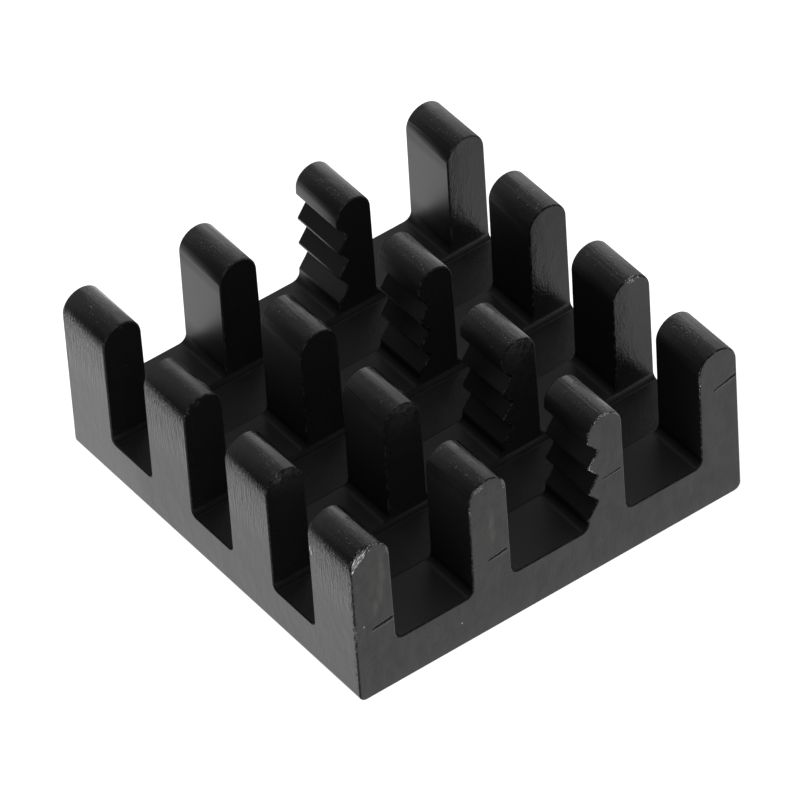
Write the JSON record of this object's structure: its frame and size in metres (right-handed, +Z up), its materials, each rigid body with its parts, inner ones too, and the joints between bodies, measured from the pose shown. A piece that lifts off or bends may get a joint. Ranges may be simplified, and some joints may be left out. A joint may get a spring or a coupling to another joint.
{
  "type": "pin fin heat sink",
  "caption": "Small black anodised heat sink: flat square base with rows of upright round-topped pins, an inner row serrated on its side.",
  "frame": {"origin": "middle of the flat base face, at the bottom centre of the bounding box", "axes": "+Z up through the pins, Y along the extrusion, X across the extruded profile; the serrated walls face -X"},
  "size_m": [0.014, 0.0142, 0.0059],
  "materials": {
    "black_anodised_aluminium": "black anodised, satin, with fine extrusion lines and saw marks"
  },
  "bodies": {
    "root": {"heat_sink": "black_anodised_aluminium"}
  },
  "joints": []
}
